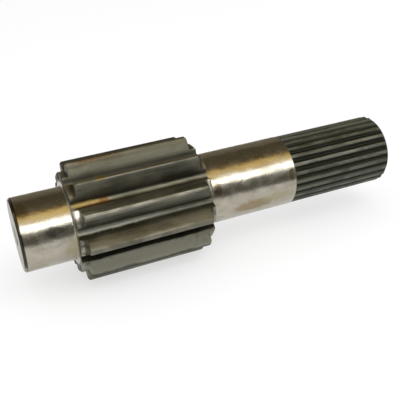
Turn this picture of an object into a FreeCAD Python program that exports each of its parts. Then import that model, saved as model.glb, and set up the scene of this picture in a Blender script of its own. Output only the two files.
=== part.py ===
import FreeCAD, Part
import os
import Sketcher

# Pinion shaft, turned from one bar and finished in one piece: a short bearing journal, an
# eleven-tooth pinion with a stepped-down rim at each end, a long bearing journal and an
# involute spline. The axis lies along X, from the short journal (-X) to the spline (+X), and
# the origin is on it at the middle of the pinion's face width. One pinion tooth points
# straight up, so the shaft lies on the tips of the two lowest teeth.

DOC = FreeCAD.newDocument("pinion_shaft")

# Sizes: millimetres and degrees. Tooth factors are in modules.
SIZES = [
    ("gear_count", 11, "pinion teeth"),
    ("gear_module", 4.5, "pinion pitch diameter over its tooth count"),
    ("gear_angle", 20, "pinion pressure angle"),
    ("gear_shift", 0.7, "profile shift, which thickens the few teeth"),
    ("gear_addendum", 0.8, "tooth height above the shifted pitch line"),
    ("gear_dedendum", 1.25, "tooth space depth below it"),
    ("teeth_length", 63.5, "face width at the full tip diameter"),
    ("tip_chamfer", 0.8, "turned corner at both ends of the teeth"),
    ("step_diameter", 52, "stepped-down rim at both ends of the pinion"),
    ("step_length", 3.5, "length of each rim"),
    ("step_chamfer", 0.6, "outer corner of each rim"),
    ("journal_diameter", 38, "both bearing journals"),
    ("short_length", 26.5, "short journal, from the pinion to its end"),
    ("long_length", 50, "long journal, from the pinion to the spline"),
    ("journal_fillet", 1, "root of each journal at the pinion"),
    ("journal_chamfer", 0.9, "free end of the short journal"),
    ("spline_count", 24, "spline teeth"),
    ("spline_module", 1.5, "spline pitch diameter over its tooth count"),
    ("spline_angle", 30, "spline pressure angle"),
    ("spline_shift", 0.1167, "profile shift that brings the spline to the journal's size"),
    ("spline_addendum", 0.41, "spline tooth above the shifted pitch line"),
    ("spline_dedendum", 0.65, "spline space below it"),
    ("spline_length", 60, "splined end"),
    ("spline_chamfer", 1.5, "free end of the spline"),
    ("spline_turn", 3.75, "first spline space, turned from straight down"),
    ("centre_mouth", 10.6, "mouth of the centre hole in each end"),
    ("centre_pilot", 5, "its pilot drilling"),
    ("centre_depth", 12, "its full depth"),
]

sheet = DOC.addObject("Spreadsheet::Sheet", "Sizes")
for row, (alias, number, note) in enumerate(SIZES, start=1):
    sheet.set("A%d" % row, str(number))
    sheet.setAlias("A%d" % row, alias)
    sheet.set("B%d" % row, note)
DOC.recompute()

body = DOC.addObject("PartDesign::Body", "pinion_shaft")
body.Label = "pinion_shaft"

# Places along the axis, and radii that several features share.
STEP_FACE = "(Sizes.teeth_length / 2 + Sizes.step_length)"
LEFT_END = "(-" + STEP_FACE + " - Sizes.short_length)"
SPLINE_START = "(" + STEP_FACE + " + Sizes.long_length)"
RIGHT_END = "(" + SPLINE_START + " + Sizes.spline_length)"
JOURNAL = "(Sizes.journal_diameter / 2)"
STEP = "(Sizes.step_diameter / 2)"


def value(expression):
    result = sheet.evalExpression(expression)
    return float(getattr(result, "Value", result))


def circle_radius(kind, side):
    """Tip or root radius of the pinion (gear) or the spline."""
    height = {"tip": "+ Sizes.%s_addendum", "root": "- Sizes.%s_dedendum"}[side] % kind
    return "(Sizes.%s_module * (Sizes.%s_count / 2 + Sizes.%s_shift %s))" % (
        kind, kind, kind, height)


def origin_feature(role):
    for feature in body.Origin.OriginFeatures:
        if feature.Role == role:
            return feature
    raise RuntimeError("the body has no " + role)


def new_sketch(name, plane):
    sketch = body.newObject("Sketcher::SketchObject", name)
    sketch.AttachmentSupport = [(origin_feature(plane), "")]
    sketch.MapMode = "FlatFace"
    return sketch


def dimension(sketch, kind, first, second, expression):
    """DistanceX or DistanceY between two (line, end) points, bound to an expression."""
    index = sketch.addConstraint(
        Sketcher.Constraint(kind, first[0], first[1], second[0], second[1], value(expression)))
    sketch.setExpression("Constraints[%d]" % index, expression)


def draw_outline(sketch, corners):
    """Closed outline through corners given as expressions. Line n starts at corner n."""
    places = [FreeCAD.Vector(value(x), value(y), 0) for x, y in corners]
    count = len(places)
    for n in range(count):
        sketch.addGeometry(Part.LineSegment(places[n], places[(n + 1) % count]), False)
    for n in range(count):
        after = (n + 1) % count
        sketch.addConstraint(Sketcher.Constraint("Coincident", n, 2, after, 1))
        if corners[n][0] == corners[after][0]:
            sketch.addConstraint(Sketcher.Constraint("Vertical", n))
        elif corners[n][1] == corners[after][1]:
            sketch.addConstraint(Sketcher.Constraint("Horizontal", n))


def draw_arc(sketch, start, middle, end):
    """Arc through three places: its number, and which of its ends are start and end."""
    counter_clockwise = (middle - start).cross(end - middle).z > 0
    ordered = (start, middle, end) if counter_clockwise else (end, middle, start)
    number = sketch.addGeometry(Part.Arc(*ordered), False)
    return (number, 1, 2) if counter_clockwise else (number, 2, 1)


def finish_cut(feature):
    """Make the cut the tip of the body and see that it took material away."""
    before = body.Shape.Volume
    body.Tip = feature
    DOC.recompute()
    if before - body.Shape.Volume < 1:
        raise RuntimeError(feature.Name + " cuts nothing")


# Turned blank: half the shaft's outline, revolved about the axis.
ORIGIN = (-1, 1)
TIP = circle_radius("gear", "tip")
SPLINE_TIP = circle_radius("spline", "tip")
HALF_TEETH = "Sizes.teeth_length / 2"
blank = new_sketch("blank_outline", "XZ_Plane")
draw_outline(blank, [
    (LEFT_END, "0"),
    (LEFT_END, JOURNAL + " - Sizes.journal_chamfer"),
    (LEFT_END + " + Sizes.journal_chamfer", JOURNAL),
    ("-" + STEP_FACE, JOURNAL),
    ("-" + STEP_FACE, STEP + " - Sizes.step_chamfer"),
    ("-" + STEP_FACE + " + Sizes.step_chamfer", STEP),
    ("-" + HALF_TEETH, STEP),
    ("-" + HALF_TEETH, TIP + " - Sizes.tip_chamfer"),
    ("-" + HALF_TEETH + " + Sizes.tip_chamfer", TIP),
    (HALF_TEETH + " - Sizes.tip_chamfer", TIP),
    (HALF_TEETH, TIP + " - Sizes.tip_chamfer"),
    (HALF_TEETH, STEP),
    (STEP_FACE + " - Sizes.step_chamfer", STEP),
    (STEP_FACE, STEP + " - Sizes.step_chamfer"),
    (STEP_FACE, JOURNAL),
    (SPLINE_START, JOURNAL),
    (SPLINE_START, SPLINE_TIP),
    (RIGHT_END + " - Sizes.spline_chamfer", SPLINE_TIP),
    (RIGHT_END, SPLINE_TIP + " - Sizes.spline_chamfer"),
    (RIGHT_END, "0"),
])
blank.addConstraint(Sketcher.Constraint("PointOnObject", 0, 1, -1))
dimension(blank, "DistanceX", ORIGIN, (11, 1), HALF_TEETH)
dimension(blank, "DistanceX", (6, 1), (11, 1), "Sizes.teeth_length")
dimension(blank, "DistanceX", (4, 1), (6, 1), "Sizes.step_length")
dimension(blank, "DistanceX", (11, 1), (13, 1), "Sizes.step_length")
dimension(blank, "DistanceX", (0, 1), (3, 1), "Sizes.short_length")
dimension(blank, "DistanceX", (14, 1), (15, 1), "Sizes.long_length")
dimension(blank, "DistanceX", (16, 1), (19, 1), "Sizes.spline_length")
dimension(blank, "DistanceY", ORIGIN, (3, 1), JOURNAL)
dimension(blank, "DistanceY", ORIGIN, (15, 1), JOURNAL)
dimension(blank, "DistanceY", ORIGIN, (6, 1), STEP)
dimension(blank, "DistanceY", ORIGIN, (11, 1), STEP)
dimension(blank, "DistanceY", ORIGIN, (9, 1), TIP)
dimension(blank, "DistanceY", ORIGIN, (17, 1), SPLINE_TIP)
for low, high, size in [(1, 2, "journal"), (4, 5, "step"), (7, 8, "tip")]:
    dimension(blank, "DistanceX", (low, 1), (high, 1), "Sizes.%s_chamfer" % size)
    dimension(blank, "DistanceY", (low, 1), (high, 1), "Sizes.%s_chamfer" % size)
for high, low, size in [(9, 10, "tip"), (12, 13, "step"), (17, 18, "spline")]:
    dimension(blank, "DistanceX", (high, 1), (low, 1), "Sizes.%s_chamfer" % size)
    dimension(blank, "DistanceY", (low, 1), (high, 1), "Sizes.%s_chamfer" % size)

turned = body.newObject("PartDesign::Revolution", "turned_blank")
turned.Profile = blank
turned.ReferenceAxis = (blank, ["H_Axis"])
turned.Angle = 360
DOC.recompute()

# Ground fillet where each journal meets the pinion's end face.
corner_edges = []
for number, edge in enumerate(turned.Shape.Edges, start=1):
    box = edge.BoundBox
    on_face = box.XLength < 1e-6 and abs(abs(box.XMin) - value(STEP_FACE)) < 1e-6
    if on_face and abs(box.ZMax - value(JOURNAL)) < 1e-6:
        corner_edges.append("Edge%d" % number)
fillet = body.newObject("PartDesign::Fillet", "journal_fillets")
fillet.Base = (turned, corner_edges)
fillet.setExpression("Radius", "Sizes.journal_fillet")
DOC.recompute()

# Centre hole in each end: 60 degree mouth, pilot and drill point.
for name, end, sign in [("left_centre", LEFT_END, "+"), ("right_centre", RIGHT_END, "-")]:
    cone = "((Sizes.centre_mouth - Sizes.centre_pilot) / 2 / tan(30deg))"
    drill_point = "(Sizes.centre_pilot / 2 * tan(30deg))"
    straight_end = end + sign + "(Sizes.centre_depth - " + drill_point + ")"
    drill = new_sketch(name + "_outline", "XZ_Plane")
    corners = [
        (end, "0"),
        (end, "Sizes.centre_mouth / 2"),
        (end + sign + cone, "Sizes.centre_pilot / 2"),
        (straight_end, "Sizes.centre_pilot / 2"),
        (end + sign + "Sizes.centre_depth", "0"),
    ]
    draw_outline(drill, corners)
    drill.addConstraint(Sketcher.Constraint("PointOnObject", 0, 1, -1))
    dimension(drill, "DistanceY", ORIGIN, (1, 1), "Sizes.centre_mouth / 2")
    dimension(drill, "DistanceY", ORIGIN, (2, 1), "Sizes.centre_pilot / 2")
    for corner in (0, 2, 3, 4):
        dimension(drill, "DistanceX", ORIGIN, (corner, 1), corners[corner][0])
    hole = body.newObject("PartDesign::Groove", name)
    hole.Profile = drill
    hole.ReferenceAxis = (drill, ["H_Axis"])
    hole.Angle = 360
    finish_cut(hole)


def tooth_space(kind, name):
    """Sketch of one tooth space, straight down from the axis: two involute flanks, each an
    arc through three points of the involute, and a fully rounded root between them."""
    names = {"kind": kind, "tip": circle_radius(kind, "tip"), "root": circle_radius(kind, "root")}
    base = "(Sizes.%(kind)s_module * Sizes.%(kind)s_count / 2 * cos(Sizes.%(kind)s_angle * 1deg))"
    names["base"] = base % names
    low = "max(0.75 * %(root)s + 0.25 * %(tip)s; 1.01 * %(base)s)" % names
    middle = "(%s / 2 + %s / 2)" % (low, names["tip"])
    high = "(1.01 * %(tip)s)" % names
    # Half the angle of the space at the base circle; the involute widens it outwards.
    half_at_base = (
        "(90deg / Sizes.%(kind)s_count + Sizes.%(kind)s_angle * 1deg - (180deg / pi)"
        " * tan(Sizes.%(kind)s_angle * 1deg)"
        " * (1 + 2 * Sizes.%(kind)s_shift / Sizes.%(kind)s_count))") % names

    def flank_point(radius):
        turn = "acos(%s / %s)" % (names["base"], radius)
        angle = "(%s + tan(%s) * 180deg / pi - %s)" % (half_at_base, turn, turn)
        return "%s * sin(%s)" % (radius, angle), "%s * cos(%s)" % (radius, angle)

    points = [flank_point(radius) for radius in (low, middle, high)]
    sketch = new_sketch(name, "YZ_Plane")
    flank_ends = []
    for side, sign in [(-1, "-"), (1, "")]:
        places = [FreeCAD.Vector(side * value(x), -value(y), 0) for x, y in points]
        flank, low_end, high_end = draw_arc(sketch, *places)
        flank_ends.append((flank, low_end, high_end, places[2]))
        for number, (x, y) in enumerate(points):
            if number == 2:
                point = (flank, high_end)
            else:
                point = (sketch.addGeometry(Part.Point(places[number]), True), 1)
                sketch.addConstraint(Sketcher.Constraint("PointOnObject", *point, flank))
            dimension(sketch, "DistanceX", (-1, 1), point, sign + "(" + x + ")")
            dimension(sketch, "DistanceY", (-1, 1), point, "-(" + y + ")")

    # Root arc, tangent to both flanks, through the lowest point of the space.
    low_x, low_y = value(points[0][0]), -value(points[0][1])
    bottom = FreeCAD.Vector(0, -value(names["root"]), 0)
    root_arc, left_end, right_end = draw_arc(
        sketch, FreeCAD.Vector(-low_x, low_y, 0), bottom, FreeCAD.Vector(low_x, low_y, 0))
    bottom_point = sketch.addGeometry(Part.Point(bottom), True)
    sketch.addConstraint(Sketcher.Constraint("PointOnObject", bottom_point, 1, -2))
    dimension(sketch, "DistanceY", (-1, 1), (bottom_point, 1), "-" + names["root"])
    sketch.addConstraint(Sketcher.Constraint("PointOnObject", bottom_point, 1, root_arc))
    for (flank, low_end, _, _), root_end in zip(flank_ends, (left_end, right_end)):
        sketch.addConstraint(Sketcher.Constraint("Tangent", flank, low_end, root_arc, root_end))

    # Two lines close the space well outside the tips.
    apex = FreeCAD.Vector(0, -1.2 * value(names["tip"]), 0)
    roof = []
    for flank, _, high_end, mouth in flank_ends:
        roof.append(sketch.addGeometry(Part.LineSegment(mouth, apex), False))
        sketch.addConstraint(Sketcher.Constraint("Coincident", flank, high_end, roof[-1], 1))
    sketch.addConstraint(Sketcher.Constraint("Coincident", roof[0], 2, roof[1], 2))
    sketch.addConstraint(Sketcher.Constraint("PointOnObject", roof[0], 2, -2))
    dimension(sketch, "DistanceY", (-1, 1), (roof[0], 2), "-1.2 * " + names["tip"])
    return sketch


def cut_all_round(name, sketch, count, length, side_type):
    """Cut one tooth space and repeat it about the axis."""
    space = body.newObject("PartDesign::Pocket", name)
    space.Profile = sketch
    space.SideType = side_type
    space.Reversed = side_type == "One side"
    space.setExpression("Length", length)
    finish_cut(space)
    ring = body.newObject("PartDesign::PolarPattern", name + "_ring")
    ring.Originals = [space]
    ring.Axis = (origin_feature("X_Axis"), [""])
    ring.Angle = 360
    ring.setExpression("Occurrences", count)
    finish_cut(ring)


# Pinion teeth. The spaces run out through both stepped rims, clear of the journals.
gear_space = tooth_space("gear", "gear_space_outline")
cut_all_round("gear_space", gear_space, "Sizes.gear_count",
              "Sizes.teeth_length + 2 * Sizes.step_length", "Symmetric")

# Spline teeth, from the shoulder of the long journal to the end of the shaft.
spline_space = tooth_space("spline", "spline_space_outline")
spline_space.setExpression("AttachmentOffset.Base.z", SPLINE_START)
spline_space.setExpression("AttachmentOffset.Rotation.Angle", "-Sizes.spline_turn * 1deg")
cut_all_round("spline_space", spline_space, "Sizes.spline_count",
              "Sizes.spline_length", "One side")

# Nothing is written from a failed feature or an open shape.
for item in DOC.Objects:
    if "Invalid" in item.State or "Error" in item.State:
        raise RuntimeError("%s failed to build" % item.Name)
    if item.TypeId == "Sketcher::SketchObject" and not item.FullyConstrained:
        raise RuntimeError("%s is not fully constrained" % item.Name)
shape = body.Shape
if shape.isNull() or not shape.isValid() or len(shape.Solids) != 1:
    raise RuntimeError("the shaft is not one valid solid")

os.makedirs("parts", exist_ok=True)
shape.exportStep("parts/%s.step" % body.Label)
print("%s: %.1f cm3, %d faces" % (body.Label, shape.Volume / 1000, len(shape.Faces)))
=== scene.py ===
import math

import bmesh
import bpy
from mathutils import Matrix, Vector


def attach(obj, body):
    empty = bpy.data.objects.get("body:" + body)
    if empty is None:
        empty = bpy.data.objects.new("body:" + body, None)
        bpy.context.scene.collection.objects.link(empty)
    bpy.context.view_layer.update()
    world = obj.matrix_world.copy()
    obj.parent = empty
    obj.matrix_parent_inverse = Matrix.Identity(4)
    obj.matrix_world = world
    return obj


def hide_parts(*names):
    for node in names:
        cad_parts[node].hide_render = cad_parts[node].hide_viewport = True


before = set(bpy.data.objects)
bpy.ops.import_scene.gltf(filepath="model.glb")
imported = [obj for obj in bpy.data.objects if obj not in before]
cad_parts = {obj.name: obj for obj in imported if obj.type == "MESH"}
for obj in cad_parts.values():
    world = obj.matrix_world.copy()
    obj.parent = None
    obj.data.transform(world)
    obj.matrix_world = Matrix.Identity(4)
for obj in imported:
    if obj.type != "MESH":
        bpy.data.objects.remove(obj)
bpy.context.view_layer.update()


# The pinion. Eleven straight teeth cut by a hob out of the same bar as the rest of the shaft, with a
# low turned step at each end that the hob has run through as well. Hardened steel, left dark and oiled,
# with brighter metal where the edges are bare from wear. Light and shade are painted into its colour as
# well: painted shade down the flanks near the roots, on the steps by the ends of the teeth, in two dark
# lines along the lowest teeth and over the top; painted highlights on the tips and root floors, along
# one lower root and one lower tip, and on one step; and the lower front flanks painted lighter.

MM = 0.001
POINTS_AROUND = 528  # 48 for each pinion tooth and 22 for each spline tooth

pinion_teeth = 11
pinion_module = 4.5
pinion_pressure = math.radians(20)
pinion_shift = 0.7
pinion_tip = 31.5
pinion_root = 22.275
half_face = 31.75
tip_chamfer = 0.8
step_radius = 26.0
step_end = 35.25
step_chamfer = 0.6
step_foot = 0.35  # the tool's small round between the step and the ends of the teeth
foot_bend = 0.1  # how far the middle of that round stands off both faces
pinion_bottom = 21.4
inner_rings = (9, 18, 26)
corner_rounding = 0.3
broken_edge = 0.3
breaking_depth = 0.8  # how far above a radius the breaking of an edge comes in


def place(name, data):
    """A new object in the scene."""
    made = bpy.data.objects.new(name, data)
    bpy.context.scene.collection.objects.link(made)
    return made


def tooth_outline(teeth, module, pressure, shift, tip, root, rounding, steps):
    """(radius, angle) of one tooth, from the middle of one space to the middle of the next. The flanks
    are involutes, the root is one round that touches both, and the corners at the tip are rounded."""
    root_steps, flank_steps, land_steps = steps
    base = teeth * module / 2 * math.cos(pressure)
    half_at_base = (
        math.pi / (2 * teeth)
        + 2 * shift * math.tan(pressure) / teeth
        + math.tan(pressure)
        - pressure
    )

    def flank_angle(radius):
        lean = math.acos(base / radius)
        return half_at_base - math.tan(lean) + lean

    def root_round(radius):
        lean = math.acos(base / radius)
        off_middle = math.pi / teeth - flank_angle(radius)
        size = radius * math.sin(off_middle) / math.cos(off_middle + lean)
        centre = radius * math.cos(off_middle) + size * math.sin(off_middle + lean)
        return centre, size, math.pi / 2 - off_middle - lean

    low, high = max(base, root) * 1.0001, tip
    for _ in range(40):
        touch = (low + high) / 2
        centre, size, sweep = root_round(touch)
        if centre - size < root:
            low = touch
        else:
            high = touch

    half = []
    for step in range(root_steps):
        turn = sweep * step / root_steps
        across = size * math.sin(turn)
        out = centre - size * math.cos(turn)
        half.append((math.hypot(out, across), math.atan2(across, out) - math.pi / teeth))
    flank_top = tip - rounding
    for step in range(flank_steps + 1):
        radius = touch + (flank_top - touch) * step / flank_steps
        half.append((radius, -flank_angle(radius)))
    land_edge = flank_angle(tip) - rounding / tip
    rounded = (flank_angle(flank_top) + 2 * flank_angle(tip) + land_edge) / 4
    half.append((tip - rounding / 4, -rounded))
    for step in range(land_steps):
        half.append((tip, -land_edge * (1 - step / land_steps)))
    return half + [(tip, 0.0)] + [(radius, -angle) for radius, angle in reversed(half)]


def ring(x, high, low=0.0, broken=0.0, above=0.0, even=False):
    """One cross-section of a toothed stretch at x: the tooth's outline kept between two radii. broken
    takes that much off the edge, above a radius, and even spaces the points evenly for the weld to a
    turned stretch."""
    return {"x": x, "high": high, "low": low, "broken": broken, "above": above, "even": even}


def tooth_strip(name, outline, rings, middle, weld_shift):
    """The skin of one tooth and its two half spaces, as a mesh that repeats round the x axis. Angles go
    from +z to +y."""
    pitch = outline[-1][1] - outline[0][1]
    last = len(outline) - 1

    def on_section(radius, angle):
        return Vector((radius * math.sin(angle), radius * math.cos(angle)))

    flat = [on_section(radius, angle) for radius, angle in outline]
    before = on_section(outline[-2][0], outline[-2][1] - pitch)
    after = on_section(outline[1][0], outline[1][1] + pitch)
    points = []
    for section in rings:
        for index, (radius, angle) in enumerate(outline):
            following = flat[index + 1] if index < last else after
            along = following - (flat[index - 1] if index else before)
            inwards = Vector((along.y, -along.x)).normalized()
            fade = min(1.0, max(0.0, (radius - section["above"]) / breaking_depth))
            moved = flat[index] + inwards * section["broken"] * fade
            radius = min(section["high"], max(section["low"], moved.length))
            angle = math.atan2(moved.x, moved.y)
            if section["even"]:
                angle = outline[0][1] + pitch * (index + weld_shift) / last
            y, z = on_section(radius, angle + middle)
            points.append((section["x"] * MM, y * MM, z * MM))
    row = last + 1
    faces = [
        (r * row + i, r * row + i + 1, (r + 1) * row + i + 1, (r + 1) * row + i)
        for r in range(len(rings) - 1)
        for i in range(last)
    ]
    mesh = bpy.data.meshes.new(name)
    mesh.from_pydata(points, [], faces)
    return place(name, mesh)


def node(tree, kind, inputs=None, **settings):
    """A new node. inputs gives each socket, by its name or place, a value or another node's output."""
    made = tree.nodes.new(kind)
    for name, setting in settings.items():
        setattr(made, name, setting)
    for socket, value in (inputs or {}).items():
        if isinstance(value, bpy.types.NodeSocket):
            tree.links.new(value, made.inputs[socket])
        else:
            made.inputs[socket].default_value = value
    return made


def teeth_all_round():
    """The tree that repeats one tooth's strip round the shaft, given the strip, the number of teeth and
    the steel."""
    tree = bpy.data.node_groups.new("teeth all round", "GeometryNodeTree")
    tree.interface.new_socket("Tooth", in_out="INPUT", socket_type="NodeSocketGeometry")
    tree.interface.new_socket("Teeth", in_out="INPUT", socket_type="NodeSocketInt")
    tree.interface.new_socket("Steel", in_out="INPUT", socket_type="NodeSocketMaterial")
    tree.interface.new_socket("Toothed", in_out="OUTPUT", socket_type="NodeSocketGeometry")
    given = node(tree, "NodeGroupInput")
    index = node(tree, "GeometryNodeInputIndex")
    pitch = node(tree, "ShaderNodeMath", {0: math.tau, 1: given.outputs["Teeth"]}, operation="DIVIDE")
    turn = node(tree, "ShaderNodeMath", {0: index.outputs[0], 1: pitch.outputs[0]}, operation="MULTIPLY")
    rotation = node(tree, "ShaderNodeCombineXYZ", {"X": turn.outputs[0]})
    places = node(
        tree,
        "GeometryNodeMeshLine",
        {"Count": given.outputs["Teeth"], "Start Location": (0, 0, 0), "Offset": (0, 0, 0)},
    )
    repeated = node(
        tree,
        "GeometryNodeInstanceOnPoints",
        {"Points": places.outputs[0], "Instance": given.outputs["Tooth"], "Rotation": rotation.outputs[0]},
    )
    real = node(tree, "GeometryNodeRealizeInstances", {"Geometry": repeated.outputs[0]})
    painted = node(
        tree, "GeometryNodeSetMaterial", {"Geometry": real.outputs[0], "Material": given.outputs["Steel"]}
    )
    node(tree, "NodeGroupOutput", {"Toothed": painted.outputs[0]})
    return tree


def cut_teeth(strip, tree, teeth, steel):
    """Repeats a strip with the tree, and leaves the result as the strip's own plain mesh."""
    modifier = strip.modifiers.new("teeth", "NODES")
    modifier.node_group = tree
    sockets = {item.name: item.identifier for item in tree.interface.items_tree if item.in_out == "INPUT"}
    modifier[sockets["Teeth"]] = teeth
    modifier[sockets["Steel"]] = steel
    evaluated = strip.evaluated_get(bpy.context.evaluated_depsgraph_get())
    mesh = bpy.data.meshes.new_from_object(evaluated)
    strip.modifiers.remove(modifier)
    strip.data = mesh


def new_steel(name):
    """A material with its shader and the point being painted, in millimetres in the shaft's own frame."""
    material = bpy.data.materials.new(name)
    material.use_nodes = True
    tree = material.node_tree
    shader = tree.nodes["Principled BSDF"]
    shader.inputs["Metallic"].default_value = 1.0
    where = node(tree, "ShaderNodeTexCoord").outputs["Object"]
    where = node(tree, "ShaderNodeVectorMath", {0: where, "Scale": 1 / MM}, operation="SCALE").outputs[0]
    return material, tree, shader, where


def radius_of(tree, where):
    """How far the point is from the shaft's axis."""
    across = node(tree, "ShaderNodeVectorMath", {0: where, 1: (0, 1, 1)}, operation="MULTIPLY")
    return node(tree, "ShaderNodeVectorMath", {0: across.outputs[0]}, operation="LENGTH").outputs["Value"]


def grain(tree, where, per_mm, detail=3.0, roughness=0.6):
    """Noise from 0 to 1, with its own fineness along x, y and z, so that it can be drawn out into marks."""
    drawn = node(tree, "ShaderNodeVectorMath", {0: where, 1: per_mm}, operation="MULTIPLY")
    inputs = {"Vector": drawn.outputs[0], "Scale": 1.0, "Detail": detail, "Roughness": roughness}
    return node(tree, "ShaderNodeTexNoise", inputs).outputs["Fac"]


def between(tree, value, start, end, to_start=0.0, to_end=1.0):
    """A smooth change from to_start to to_end, as value goes from start to end."""
    made = node(
        tree,
        "ShaderNodeMapRange",
        {"Value": value, "From Min": start, "From Max": end, "To Min": to_start, "To Max": to_end},
        interpolation_type="SMOOTHSTEP",
    )
    return made.outputs["Result"]


def tint(tree, amount, under, over):
    """One colour laid over another by amount."""
    return node(tree, "ShaderNodeMix", {0: amount, 6: under, 7: over}, data_type="RGBA").outputs[2]


def times(tree, one, other):
    return node(tree, "ShaderNodeMath", {0: one, 1: other}, operation="MULTIPLY").outputs[0]


def spot(tree, where, centre, reach, ragged):
    """1 at centre, fading to 0 at reach along x, y and z, with an uneven edge."""
    from_centre = node(tree, "ShaderNodeVectorMath", {0: where, 1: centre}, operation="SUBTRACT")
    scaled = node(tree, "ShaderNodeVectorMath", {0: from_centre.outputs[0], 1: reach}, operation="DIVIDE")
    distance = node(tree, "ShaderNodeVectorMath", {0: scaled.outputs[0]}, operation="LENGTH").outputs["Value"]
    uneven = grain(tree, where, (ragged, ragged, ragged), detail=4.0)
    pushed = node(tree, "ShaderNodeMath", {0: uneven, 1: distance}, operation="ADD").outputs[0]
    return between(tree, pushed, 1.5, 1.0)


def with_stains_and_painted_light(tree, where, colour, stains, ragged):
    """The colour with marks laid over it, stains and painted shade and highlights alike, each given by its
    centre, reach, own colour and depth.
    """
    for centre, reach, hue, depth in stains:
        mark = spot(tree, where, centre, reach, ragged)
        colour = tint(tree, times(tree, mark, depth), colour, hue)
    return colour


hobbed_steel, tree, shader, where = new_steel("hobbed_steel")
radius = radius_of(tree, where)
blotches = grain(tree, where, (0.05, 0.09, 0.09), detail=4.0)
hob_marks = grain(tree, where, (0.05, 2.2, 2.2), detail=2.0)
streaks = grain(tree, where, (0.03, 0.5, 0.5), detail=3.0)
colour = tint(tree, between(tree, blotches, 0.38, 0.62), (0.1, 0.098, 0.071, 1), (0.175, 0.173, 0.134, 1))
colour = tint(tree, between(tree, streaks, 0.48, 0.68, 0.0, 0.45), colour, (0.21, 0.205, 0.168, 1))
colour = tint(tree, between(tree, streaks, 0.46, 0.3, 0.0, 0.45), colour, (0.06, 0.058, 0.042, 1))
colour = tint(tree, between(tree, hob_marks, 0.45, 0.75, 0.0, 0.35), colour, (0.2, 0.194, 0.16, 1))
# Painted shade: the flanks darkened down towards the roots, sparing the root floors.
painted_root_shade = times(tree, between(tree, radius, 27.0, 23.2), between(tree, radius, 22.4, 23.0, 0.0, 0.65))
colour = tint(tree, painted_root_shade, colour, (0.03, 0.028, 0.018, 1))
uneven_patches = between(tree, grain(tree, where, (0.07, 0.15, 0.15)), 0.4, 0.6, 0.1, 0.55)
# The tips lighter from wear, and lightened further as a painted highlight.
tip_wear_and_highlight = times(tree, between(tree, radius, 29.6, 31.3), uneven_patches)
colour = tint(tree, tip_wear_and_highlight, colour, (0.3, 0.292, 0.25, 1))
# Painted highlight: a light line along each root floor.
painted_root_highlight = times(tree, between(tree, radius, 22.6, 22.35, 0.0, 0.7), uneven_patches)
colour = tint(tree, painted_root_highlight, colour, (0.34, 0.33, 0.285, 1))
along = node(tree, "ShaderNodeSeparateXYZ", {0: where}).outputs["X"]
from_middle = node(tree, "ShaderNodeMath", {0: along}, operation="ABSOLUTE").outputs[0]
on_step = times(tree, between(tree, from_middle, 31.7, 31.95), between(tree, radius, 25.1, 25.6))
patchy = between(tree, grain(tree, where, (0.28, 0.28, 0.28)), 0.42, 0.6, 0.1, 0.85)
bared = times(tree, on_step, patchy)
colour = tint(tree, bared, colour, (0.34, 0.325, 0.275, 1))
# Painted shade: the steps darkened next to the ends of the teeth.
painted_shade_by_tooth_ends = times(tree, on_step, between(tree, from_middle, 34.0, 32.9, 0.0, 0.8))
colour = tint(tree, painted_shade_by_tooth_ends, colour, (0.05, 0.042, 0.024, 1))
pinion_stains_and_painted_light = (
    # Painted light: the lower front flanks lightened.
    ((-6, -20, -20), (60, 18, 14), (0.29, 0.285, 0.225, 1), 0.8),
    # Painted shade: the top teeth darkened a little.
    ((14, -10, 28), (75, 22, 15), (0.07, 0.067, 0.05, 1), 0.35),
    ((-27, -16.7, 14.8), (13, 1.9, 1.9), (0.4, 0.3, 0.11, 1), 0.85),
    ((-23, -18.2, 13.5), (14, 1.8, 1.8), (0.1, 0.05, 0.02, 1), 0.8),
    ((-19, -16.8, 14.7), (3, 2.4, 2.4), (0.2, 0.09, 0.03, 1), 0.8),
    # Painted highlight: a light line along a root on the lower front.
    ((-22, -22.0, 3.2), (34, 2.4, 2.4), (0.34, 0.33, 0.28, 1), 0.7),
    # Painted highlight: a light line along the tip of a lower tooth.
    ((-29, -27.5, 15.0), (9, 2.2, 2.2), (0.42, 0.41, 0.35, 1), 0.7),
    ((-20, -6.8, 21.6), (15, 2.2, 2.2), (0.12, 0.1, 0.03, 1), 0.7),
    # Painted highlight: a near-white glint on the step at the short end.
    ((-34.6, -21.6, 14.5), (2.6, 5, 5), (0.75, 0.74, 0.68, 1), 0.85),
    ((-16, -0.5, 31), (16, 3, 2.2), (0.13, 0.08, 0.04, 1), 0.6),
    ((-19, -17, 26.5), (4, 2, 2), (0.22, 0.17, 0.06, 1), 0.8),
    ((-34, -10.4, 23.8), (2.6, 2.6, 2.6), (0.25, 0.17, 0.07, 1), 0.7),
    ((20, 24, 18), (14, 5, 5), (0.18, 0.1, 0.04, 1), 0.6),
    ((-12, 14, -26), (12, 5, 5), (0.2, 0.13, 0.05, 1), 0.5),
)
# Painted shade: two near-black lines along the lowest teeth.
painted_shade_lines = (
    ((10, -21.0, -11.6), (140, 2.0, 2.0), (0.013, 0.012, 0.008, 1), 0.92),
    ((0, -22.9, -21.6), (150, 3.0, 3.0), (0.013, 0.012, 0.008, 1), 0.92),
)
colour = with_stains_and_painted_light(tree, where, colour, pinion_stains_and_painted_light, ragged=0.35)
colour = with_stains_and_painted_light(tree, where, colour, painted_shade_lines, ragged=0.06)
tree.links.new(colour, shader.inputs["Base Color"])
dull = between(tree, blotches, 0.3, 0.7, 0.52, 0.64)
smoothed = node(tree, "ShaderNodeMath", {0: tip_wear_and_highlight, 1: bared}, operation="MAXIMUM").outputs[0]
less_dull = node(tree, "ShaderNodeMath", {0: smoothed, 1: -0.22, 2: dull}, operation="MULTIPLY_ADD")
tree.links.new(less_dull.outputs[0], shader.inputs["Roughness"])
relief = node(tree, "ShaderNodeBump", {"Strength": 0.35, "Distance": 0.02 * MM, "Height": hob_marks})
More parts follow.
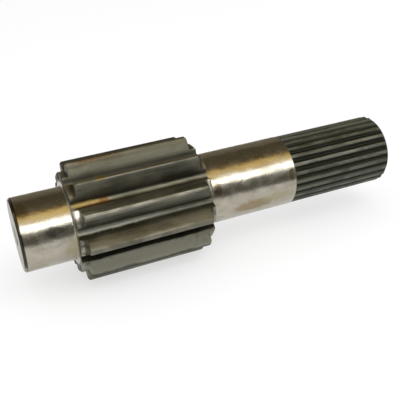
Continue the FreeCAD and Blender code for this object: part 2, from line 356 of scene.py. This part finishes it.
tree.links.new(relief.outputs[0], shader.inputs["Normal"])

pinion_outline = tooth_outline(
    pinion_teeth,
    pinion_module,
    pinion_pressure,
    pinion_shift,
    pinion_tip,
    pinion_root,
    corner_rounding,
    steps=(6, 12, 4),
)
pinion_half = [ring(x, pinion_tip) for x in (*inner_rings, half_face - tip_chamfer)]
pinion_half += [
    ring(half_face - broken_edge, pinion_tip - tip_chamfer + broken_edge),
    ring(half_face, pinion_tip - tip_chamfer, broken=broken_edge, above=step_radius),
    ring(half_face, step_radius + step_foot),
    ring(half_face + foot_bend, step_radius + foot_bend),
    ring(half_face + step_foot, step_radius),
    ring(step_end - step_chamfer, step_radius),
    ring(step_end - broken_edge, step_radius - step_chamfer + broken_edge),
    ring(step_end, step_radius - step_chamfer, broken=broken_edge),
    ring(step_end, pinion_bottom, low=pinion_bottom, even=True),
]
pinion_rings = [{**section, "x": -section["x"]} for section in reversed(pinion_half)]
pinion_rings += [ring(0, pinion_tip)] + pinion_half
pinion = tooth_strip("pinion", pinion_outline, pinion_rings, middle=0.0, weld_shift=0.0)
toothing = teeth_all_round()
cut_teeth(pinion, toothing, pinion_teeth, hobbed_steel)


# The spline. Twenty-four small straight teeth rolled or hobbed on the driving end, which a coupling
# slides over. Darker than the pinion, with painted shade deep in the grooves and the ridges grey from wear.

spline_teeth = 24
spline_module = 1.5
spline_pressure = math.radians(30)
spline_shift = 0.1167
spline_rounding = 0.14
spline_tip = 18.79
spline_root = 17.2
spline_start = 85.25
spline_end = 145.25
spline_chamfer = 1.5
spline_turn = math.radians(-3.75)
journal_radius = 19.0
relief_length = 0.15  # the drop from the ground journal to the tips
run_out = 2.6
end_rim = 16.9
spline_inner_rings = (100, 115, 130)

splined_steel, tree, shader, where = new_steel("splined_steel")
radius = radius_of(tree, where)
blotches = grain(tree, where, (0.06, 0.12, 0.12), detail=4.0)
drawn_marks = grain(tree, where, (0.08, 3.0, 3.0), detail=2.0)
colour = tint(tree, between(tree, blotches, 0.35, 0.65), (0.068, 0.073, 0.058, 1), (0.1, 0.107, 0.088, 1))
colour = tint(tree, between(tree, drawn_marks, 0.5, 0.8, 0.0, 0.3), colour, (0.14, 0.14, 0.118, 1))
uneven_patches = between(tree, grain(tree, where, (0.09, 0.2, 0.2)), 0.4, 0.6, 0.1, 0.6)
colour = tint(tree, times(tree, between(tree, radius, 18.5, 18.75), uneven_patches), colour, (0.22, 0.22, 0.19, 1))
# Painted shade: the grooves darkened nearly to black towards their floors.
colour = tint(tree, between(tree, radius, 18.2, 17.4, 0.0, 0.85), colour, (0.014, 0.016, 0.01, 1))
tree.links.new(colour, shader.inputs["Base Color"])
tree.links.new(between(tree, blotches, 0.3, 0.7, 0.56, 0.68), shader.inputs["Roughness"])
relief = node(tree, "ShaderNodeBump", {"Strength": 0.3, "Distance": 0.02 * MM, "Height": drawn_marks})
tree.links.new(relief.outputs[0], shader.inputs["Normal"])

spline_outline = tooth_outline(
    spline_teeth,
    spline_module,
    spline_pressure,
    spline_shift,
    spline_tip,
    spline_root,
    spline_rounding,
    steps=(3, 3, 3),
)
groove_depth = spline_tip - spline_root
spline_rings = [
    ring(spline_start, journal_radius, low=journal_radius, even=True),
    ring(spline_start + relief_length, spline_tip, low=spline_tip),
]
for done in (0.12, 0.3, 0.5, 0.75, 1.0):
    groove_floor = spline_root + groove_depth * (1 - done) ** 2
    spline_rings.append(ring(spline_start + relief_length + run_out * done, spline_tip, low=groove_floor))
spline_rings += [ring(x, spline_tip) for x in (*spline_inner_rings, spline_end - spline_chamfer)]
spline_rings += [
    ring(spline_end - spline_chamfer / 2, spline_tip - spline_chamfer / 2),
    ring(spline_end, spline_tip - spline_chamfer),
    ring(spline_end, end_rim, low=end_rim, even=True),
]
spline = tooth_strip("spline", spline_outline, spline_rings, middle=spline_turn, weld_shift=0.5)
cut_teeth(spline, toothing, spline_teeth, splined_steel)


# The journals. Two plain stretches either side of the pinion, turned and then ground bright to run in
# bearings, each with a small round where it meets the pinion's step. Handled since: dull patches,
# brown spots and a yellow stain show on the ground metal.

short_end = -61.75
journal_round = 1.0
journal_chamfer = 0.9


def turned(name, corners, steel):
    """A stretch of the shaft as the lathe makes it: (x, radius) corners taken all round the axis."""
    points = []
    for x, radius in corners:
        for index in range(POINTS_AROUND):
            angle = math.tau * index / POINTS_AROUND
            points.append((x * MM, radius * math.sin(angle) * MM, radius * math.cos(angle) * MM))
    faces = []
    for row in range(0, (len(corners) - 1) * POINTS_AROUND, POINTS_AROUND):
        for i in range(POINTS_AROUND):
            j = (i + 1) % POINTS_AROUND
            faces.append((row + i, row + j, row + POINTS_AROUND + j, row + POINTS_AROUND + i))
    mesh = bpy.data.meshes.new(name)
    mesh.from_pydata(points, [], faces)
    mesh.materials.append(steel)
    return place(name, mesh)


def rounded_foot(side):
    """The corners from the pinion's step face down the round to the journal. side is -1 at the short end
    and 1 at the long one."""
    corners = [(side * step_end, pinion_bottom)]
    for step in range(6):
        turn = math.radians(90) * step / 5
        x = step_end + journal_round * (1 - math.cos(turn))
        corners.append((side * x, journal_radius + journal_round * (1 - math.sin(turn))))
    return corners


def stretch(start, end, pieces):
    """Evenly spaced marks from start to end."""
    return [start + (end - start) * step / pieces for step in range(pieces + 1)]


ground_steel, tree, shader, where = new_steel("ground_steel")
cloud = grain(tree, where, (0.07, 0.1, 0.1), detail=3.0)
mottle = grain(tree, where, (0.16, 0.26, 0.26), detail=2.0, roughness=0.45)
grinding = grain(tree, where, (1.6, 0.1, 0.1), detail=2.0)
colour = tint(tree, between(tree, cloud, 0.35, 0.65), (0.46, 0.43, 0.36, 1), (0.39, 0.36, 0.29, 1))
colour = tint(tree, between(tree, mottle, 0.5, 0.68, 0.0, 0.4), colour, (0.3, 0.28, 0.235, 1))
colour = tint(tree, between(tree, grinding, 0.55, 0.75, 0.0, 0.15), colour, (0.55, 0.52, 0.45, 1))
along = node(tree, "ShaderNodeSeparateXYZ", {0: where}).outputs["X"]
# Painted shade: a near-black ring over the short journal's end and its chamfer.
colour = tint(tree, between(tree, along, -60.0, -60.5, 0.0, 0.95), colour, (0.022, 0.02, 0.014, 1))
journal_stains = (
    ((-44.5, -18.2, 5.3), (6, 4, 3), (0.13, 0.12, 0.1, 1), 0.75),
    ((39.8, -18.1, 5.7), (3.2, 3.6, 4.2), (0.19, 0.14, 0.08, 1), 0.85),
    ((60, -17.1, -8.3), (14, 5, 5), (0.27, 0.2, 0.1, 1), 0.75),
    ((76, -17.8, -6.5), (13, 4, 4), (0.33, 0.3, 0.19, 1), 0.65),
    ((83.2, -18.6, 4.0), (2, 5, 5), (0.2, 0.16, 0.08, 1), 0.8),
    ((-37, -17.6, -6.5), (5.5, 8, 8), (0.3, 0.275, 0.17, 1), 0.7),
    ((-57, -13.5, -13.4), (8, 4, 4), (0.3, 0.24, 0.16, 1), 0.6),
    ((-58, -10, 16), (4, 6, 5), (0.3, 0.2, 0.08, 1), 0.5),
    ((50, 12, 14), (10, 6, 5), (0.22, 0.18, 0.12, 1), 0.5),
    ((-46, 12, -14), (8, 6, 6), (0.3, 0.22, 0.12, 1), 0.5),
)
colour = with_stains_and_painted_light(tree, where, colour, journal_stains, ragged=0.3)
tree.links.new(colour, shader.inputs["Base Color"])
dulled = between(tree, mottle, 0.4, 0.7, 0.22, 0.32)
tree.links.new(dulled, shader.inputs["Roughness"])
fine = node(tree, "ShaderNodeBump", {"Strength": 0.3, "Distance": 0.01 * MM, "Height": grinding})
wavy = node(
    tree,
    "ShaderNodeBump",
    {"Strength": 0.6, "Distance": 0.22 * MM, "Height": mottle, "Normal": fine.outputs[0]},
)
tree.links.new(wavy.outputs[0], shader.inputs["Normal"])

foot_end = step_end + journal_round
short_marks = stretch(-foot_end, short_end + journal_chamfer, 8)[1:]
short_corners = rounded_foot(-1) + [(x, journal_radius) for x in short_marks]
short_corners += [(short_end, journal_radius - journal_chamfer)]
short_journal = turned("short journal", short_corners, ground_steel)
long_marks = stretch(foot_end, spline_start, 12)[1:]
long_corners = rounded_foot(1) + [(x, journal_radius) for x in long_marks]
long_journal = turned("long journal", long_corners, ground_steel)


# The two end faces. Faced on the lathe, each with a centre hole that the bar was turned and ground
# between: a cone of sixty degrees over a small drilled pilot. Rings from the facing tool are left.

centre_mouth = 5.3
centre_pilot = 2.5
centre_depth = 12.0
mouth_edge = 0.2
cone_depth = (centre_mouth - centre_pilot) / math.tan(math.radians(30))

faced_steel, tree, shader, where = new_steel("faced_steel")
radius = radius_of(tree, where)
cloud = grain(tree, where, (0.1, 0.14, 0.14), detail=5.0)
facing = node(tree, "ShaderNodeTexNoise", {"W": radius, "Scale": 3.2, "Detail": 2.0}, noise_dimensions="1D")
tool_rings = facing.outputs["Fac"]
colour = tint(tree, between(tree, cloud, 0.3, 0.7), (0.3, 0.285, 0.235, 1), (0.4, 0.38, 0.32, 1))
colour = tint(tree, between(tree, tool_rings, 0.4, 0.7, 0.0, 0.5), colour, (0.2, 0.19, 0.155, 1))
# Painted shade: darker down the cone into the centre hole.
colour = tint(tree, between(tree, radius, 5.2, 2.6, 0.0, 0.7), colour, (0.09, 0.08, 0.06, 1))
tree.links.new(colour, shader.inputs["Base Color"])
tree.links.new(between(tree, cloud, 0.3, 0.7, 0.28, 0.42), shader.inputs["Roughness"])
relief = node(tree, "ShaderNodeBump", {"Strength": 0.5, "Distance": 0.03 * MM, "Height": tool_rings})
tree.links.new(relief.outputs[0], shader.inputs["Normal"])


def end_face(name, end, inwards, rim):
    """A faced end with its centre hole, from the rim in to the bottom of the pilot."""
    corners = [(end, radius) for radius in stretch(rim, centre_mouth + mouth_edge, 6)]
    for depth, radius in (
        (mouth_edge, centre_mouth),
        (cone_depth, centre_pilot),
        (centre_depth, centre_pilot),
        (centre_depth, 0.0),
    ):
        corners.append((end + inwards * depth, radius))
    return turned(name, corners, faced_steel)


short_face = end_face("short end", short_end, 1, journal_radius - journal_chamfer)
spline_face = end_face("spline end", spline_end, -1, end_rim)


# The shaft is one piece of steel, so its stretches are welded into one skin along the rings that they
# share. Edges stay sharp where the tool left them sharp.

weld_distance = 0.002
sharpest_round = math.radians(29)

stretches = [pinion, spline, short_journal, long_journal, short_face, spline_face]
with bpy.context.temp_override(active_object=pinion, selected_editable_objects=stretches):
    bpy.ops.object.join()
shaft = pinion
shaft.name = "shaft"
skin = bmesh.new()
skin.from_mesh(shaft.data)
bmesh.ops.remove_doubles(skin, verts=skin.verts, dist=weld_distance * MM)
bmesh.ops.recalc_face_normals(skin, faces=skin.faces)
skin.to_mesh(shaft.data)
skin.free()
shaft.data.shade_smooth()
shaft.data.set_sharp_from_angle(angle=sharpest_round)

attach(shaft, "root")
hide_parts("pinion_shaft")


# The studio. A white table and background, and one long soft box in front and above. The ground metal
# mirrors it as a white band, with the warm and rust cards over it as gold and brown bands, and the dark
# cards over the back and along the front as dark ones.

axis_height = 30.67 * MM
table_half = 6.0


def four_corners(name, corners):
    """A flat sheet with four corners."""
    mesh = bpy.data.meshes.new(name)
    mesh.from_pydata(corners, [], [(0, 1, 2, 3)])
    return place(name, mesh)


def seen_itself(tree):
    """1 where the camera sees the white itself, straight or in a reflection, and 0 where it only lights."""
    path = node(tree, "ShaderNodeLightPath").outputs
    seen = path["Is Camera Ray"]
    for ray in ("Is Glossy Ray", "Is Transmission Ray"):
        both = node(tree, "ShaderNodeMath", {0: seen, 1: path[ray]}, operation="ADD", use_clamp=True)
        seen = both.outputs[0]
    return seen


floor = four_corners(
    "table",
    [
        (-table_half, -table_half, -axis_height),
        (table_half, -table_half, -axis_height),
        (table_half, table_half, -axis_height),
        (-table_half, table_half, -axis_height),
    ],
)
white = bpy.data.materials.new("white_table")
white.use_nodes = True
tree = white.node_tree
tree.nodes.clear()
paper = node(tree, "ShaderNodeBsdfDiffuse", {"Color": (0.9, 0.9, 0.9, 1)})
lit = node(tree, "ShaderNodeEmission", {"Color": (1, 1, 1, 1), "Strength": 1.0})
share = times(tree, seen_itself(tree), 0.6)
mixed = node(tree, "ShaderNodeMixShader", {0: share, 1: paper.outputs[0], 2: lit.outputs[0]})
node(tree, "ShaderNodeOutputMaterial", {"Surface": mixed.outputs[0]})
floor.data.materials.append(white)

card_half_length = 1.6
card_middle = 0.35  # how far along x the cards stand, where the camera sees them mirrored


def card(name, turn, span, distance, colour, strength):
    """A long card or soft box that faces the shaft, turn degrees from straight up towards the back. It
    spans so many degrees as seen from the axis, and is seen only in reflections."""
    angle = math.radians(turn)
    out = Vector((0, math.sin(angle), math.cos(angle)))
    along = Vector((card_half_length, 0, 0))
    up = Vector((0, math.cos(angle), -math.sin(angle))) * distance * math.tan(math.radians(span / 2))
    middle = out * distance + Vector((card_middle, 0, 0))
    corners = [middle - along - up, middle + along - up, middle + along + up, middle - along + up]
    made = four_corners(name, corners)
    made.visible_camera = False
    made.visible_diffuse = False
    made.visible_shadow = False
    material = bpy.data.materials.new(name)
    material.use_nodes = True
    shader = material.node_tree.nodes["Principled BSDF"]
    shader.inputs["Base Color"].default_value = (0, 0, 0, 1)
    shader.inputs["Specular IOR Level"].default_value = 0.0
    shader.inputs["Emission Color"].default_value = (*colour, 1)
    shader.inputs["Emission Strength"].default_value = strength
    made.data.materials.append(material)


card("dark back card", 16, 62, 0.8, (0.11, 0.095, 0.06), 1.0)
card("brown back card", 74, 54, 0.8, (0.24, 0.215, 0.165), 1.0)
card("warm card", -27, 25, 0.8, (1.16, 0.87, 0.34), 1.0)
card("rust card", -17, 5, 0.7, (0.8, 0.5, 0.18), 1.0)
card("soft box front", -55.5, 17, 0.8, (1.0, 1.0, 1.0), 4.8)
card("dark front card", -85, 40, 0.105, (0.13, 0.125, 0.11), 1.0)

key_data = bpy.data.lights.new("soft box", "AREA")
key_data.shape = "RECTANGLE"
key_data.size = 1.6
key_data.size_y = 0.8
key_data.energy = 6.0
key = place("soft box", key_data)
key.location = (0.35, -0.7, 0.9)
key.rotation_euler = key.location.to_track_quat("Z", "Y").to_euler()
key.visible_camera = False
key.visible_glossy = False

world = bpy.data.worlds.new("white room")
world.use_nodes = True
bpy.context.scene.world = world
tree = world.node_tree
tree.nodes.clear()
fill = node(tree, "ShaderNodeBackground", {"Color": (1, 1, 1, 1), "Strength": 1.0})
backdrop = node(tree, "ShaderNodeBackground", {"Color": (1, 1, 1, 1), "Strength": 1.0})
seen = seen_itself(tree)
mixed = node(tree, "ShaderNodeMixShader", {0: seen, 1: fill.outputs[0], 2: backdrop.outputs[0]})
node(tree, "ShaderNodeOutputWorld", {"Surface": mixed.outputs[0]})
bpy.context.scene.view_settings.view_transform = "Standard"

camera_data = bpy.data.cameras.new("camera")
camera_data.sensor_width = 36
camera_data.lens = 61.997
camera_data.clip_start = 0.01
camera = place("camera", camera_data)
camera_right = Vector((0.92044, -0.37962, -0.09316))
camera_up = Vector((0.23301, 0.34151, 0.91054))
camera_back = camera_right.cross(camera_up)
camera.matrix_world = (
    Matrix.Translation((-0.08055, -0.32024, 0.14426))
    @ Matrix((camera_right, camera_up, camera_back)).transposed().to_4x4()
)
bpy.context.scene.camera = camera
